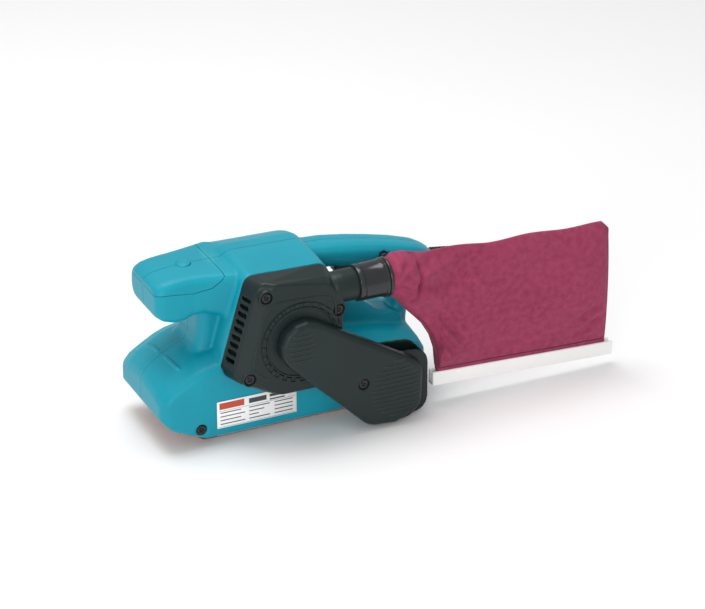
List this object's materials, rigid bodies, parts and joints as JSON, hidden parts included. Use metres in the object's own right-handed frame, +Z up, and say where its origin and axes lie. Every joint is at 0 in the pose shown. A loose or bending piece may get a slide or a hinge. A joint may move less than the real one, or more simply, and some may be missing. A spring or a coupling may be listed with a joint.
{
  "type": "handheld belt sander",
  "caption": "Handheld belt sander: abrasive belt over two rollers, side-mounted toothed belt drive, front and rear grips, side dust bag and mains lead.",
  "frame": {"origin": "on the belt's sanding face, on the tool's centre plane, halfway along the platen", "axes": "+X backwards to the dust bag's end, -Y to the drive side, +Z up from the sanded surface"},
  "size_m": [0.4285, 0.25, 0.1468],
  "materials": {
    "teal_plastic": "satin",
    "black_plastic": "satin",
    "white_plastic": "smooth",
    "rubber": "matt",
    "canvas": "woven",
    "abrasive": "grit on cloth",
    "cork": "granular",
    "steel": "brushed",
    "black_steel": "blackened",
    "aluminium": "cast",
    "copper": "wound and laminated",
    "carbon": "pressed"
  },
  "bodies": {
    "housing": {"housing_left": "teal_plastic", "housing_right": "teal_plastic", "front_grip_left": "teal_plastic", "front_grip_right": "teal_plastic", "grip_plug": "teal_plastic", "housing_screw_1": "black_steel", "housing_screw_2": "black_steel", "housing_screw_3": "black_steel", "rating_label": "white_plastic", "fan_cover": "black_plastic", "cover_screw_1": "black_steel", "cover_screw_2": "black_steel", "cover_screw_3": "black_steel", "belt_cover": "black_plastic", "belt_cover_screw_1": "black_steel", "motor_bracket": "black_plastic", "field": "steel", "motor_bearing_left": "steel", "motor_bearing_right": "steel", "brush_front": "carbon", "brush_rear": "carbon", "brush_holder_front": "black_plastic", "brush_holder_rear": "black_plastic", "drive_belt": "rubber", "shaft_bearing_inner": "steel", "shaft_bearing_outer": "steel", "frame": "aluminium", "platen_plate": "steel", "platen_cork": "cork", "sanding_belt": "abrasive", "tension_spring": "steel", "lever_pin": "steel", "switch": "black_plastic", "cord_guard": "rubber", "cord_lead": "rubber", "cord_coil": "rubber", "cord_tail": "rubber", "mains_plug": "rubber"},
    "motor_rotor": {"armature": "copper", "commutator": "copper", "cooling_fan": "black_plastic", "small_pulley": "steel"},
    "drive_roller": {"drive_shaft": "steel", "drive_roller": "rubber", "large_pulley": "black_steel"},
    "idler_yoke": {"idler_yoke": "steel", "idler_axle": "steel"},
    "idler_roller": {"idler_roller": "aluminium", "idler_bearing_left": "steel", "idler_bearing_right": "steel"},
    "release_lever": {"release_lever": "steel"},
    "tracking_screw": {"tracking_screw": "black_steel"},
    "trigger": {"trigger": "black_plastic"},
    "lock_button": {"lock_button": "black_plastic"},
    "bag_collar": {"bag_collar": "black_plastic"},
    "dust_bag": {"bag_ring": "steel", "dust_bag": "canvas"},
    "bag_clip": {"bag_clip": "white_plastic"}
  },
  "joints": [
    {"name": "drive_spin", "type": "hinge", "parent": "housing", "child": "drive_roller", "pos_m": [0.084, -0.034, 0.0205], "axis": [0, 1, 0], "continuous": true},
    {"name": "motor_spin", "type": "hinge", "parent": "housing", "child": "motor_rotor", "pos_m": [0, -0.014, 0.0885], "axis": [0, 1, 0], "continuous": true},
    {"name": "lever_swing", "type": "hinge", "parent": "housing", "child": "release_lever", "pos_m": [-0.034, 0.0345, 0.018], "axis": [0, 0, 1], "range_deg": [0, 70]},
    {"name": "tension_slide", "type": "slide", "parent": "housing", "child": "idler_yoke", "axis": [1, 0, 0], "range_m": [0, 0.0048], "deforming": ["tension_spring", "sanding_belt"]},
    {"name": "idler_spin", "type": "hinge", "parent": "idler_yoke", "child": "idler_roller", "pos_m": [-0.08535, -0.034, 0.031], "axis": [0, 1, 0], "continuous": true},
    {"name": "tracking_turn", "type": "hinge", "parent": "housing", "child": "tracking_screw", "pos_m": [-0.0785, -0.047, 0.016], "axis": [0, 1, 0], "range_deg": [-180, 180]},
    {"name": "trigger_squeeze", "type": "hinge", "parent": "housing", "child": "trigger", "pos_m": [0.0605, 0, 0.118], "axis": [0, -1, 0], "range_deg": [0, 6], "stiffness_Nm_per_rad": 0.4, "springref_deg": -8.59},
    {"name": "lock_press", "type": "slide", "parent": "housing", "child": "lock_button", "axis": [0, 1, 0], "range_m": [0, 0.002], "stiffness_N_per_m": 400, "springref_m": -0.003},
    {"name": "collar_slide", "type": "slide", "parent": "housing", "child": "bag_collar", "axis": [1, 0, 0], "range_m": [0, 0.045]},
    {"name": "bag_swing", "type": "hinge", "parent": "bag_collar", "child": "dust_bag", "pos_m": [0.0803, -0.056, 0.1246], "axis": [1, 0, 0], "range_deg": [-100, 2]},
    {"name": "clip_slide", "type": "slide", "parent": "dust_bag", "child": "bag_clip", "axis": [0.999, 0, -0.0436], "range_m": [0, 0.165]}
  ],
  "couplings": [
    {"joint": "motor_spin", "follows": "drive_spin", "ratio": 1.6111},
    {"joint": "idler_spin", "follows": "drive_spin", "ratio": 1.2581},
    {"joint": "lever_swing", "follows": "tension_slide", "rad_per_m": 250}
  ]
}
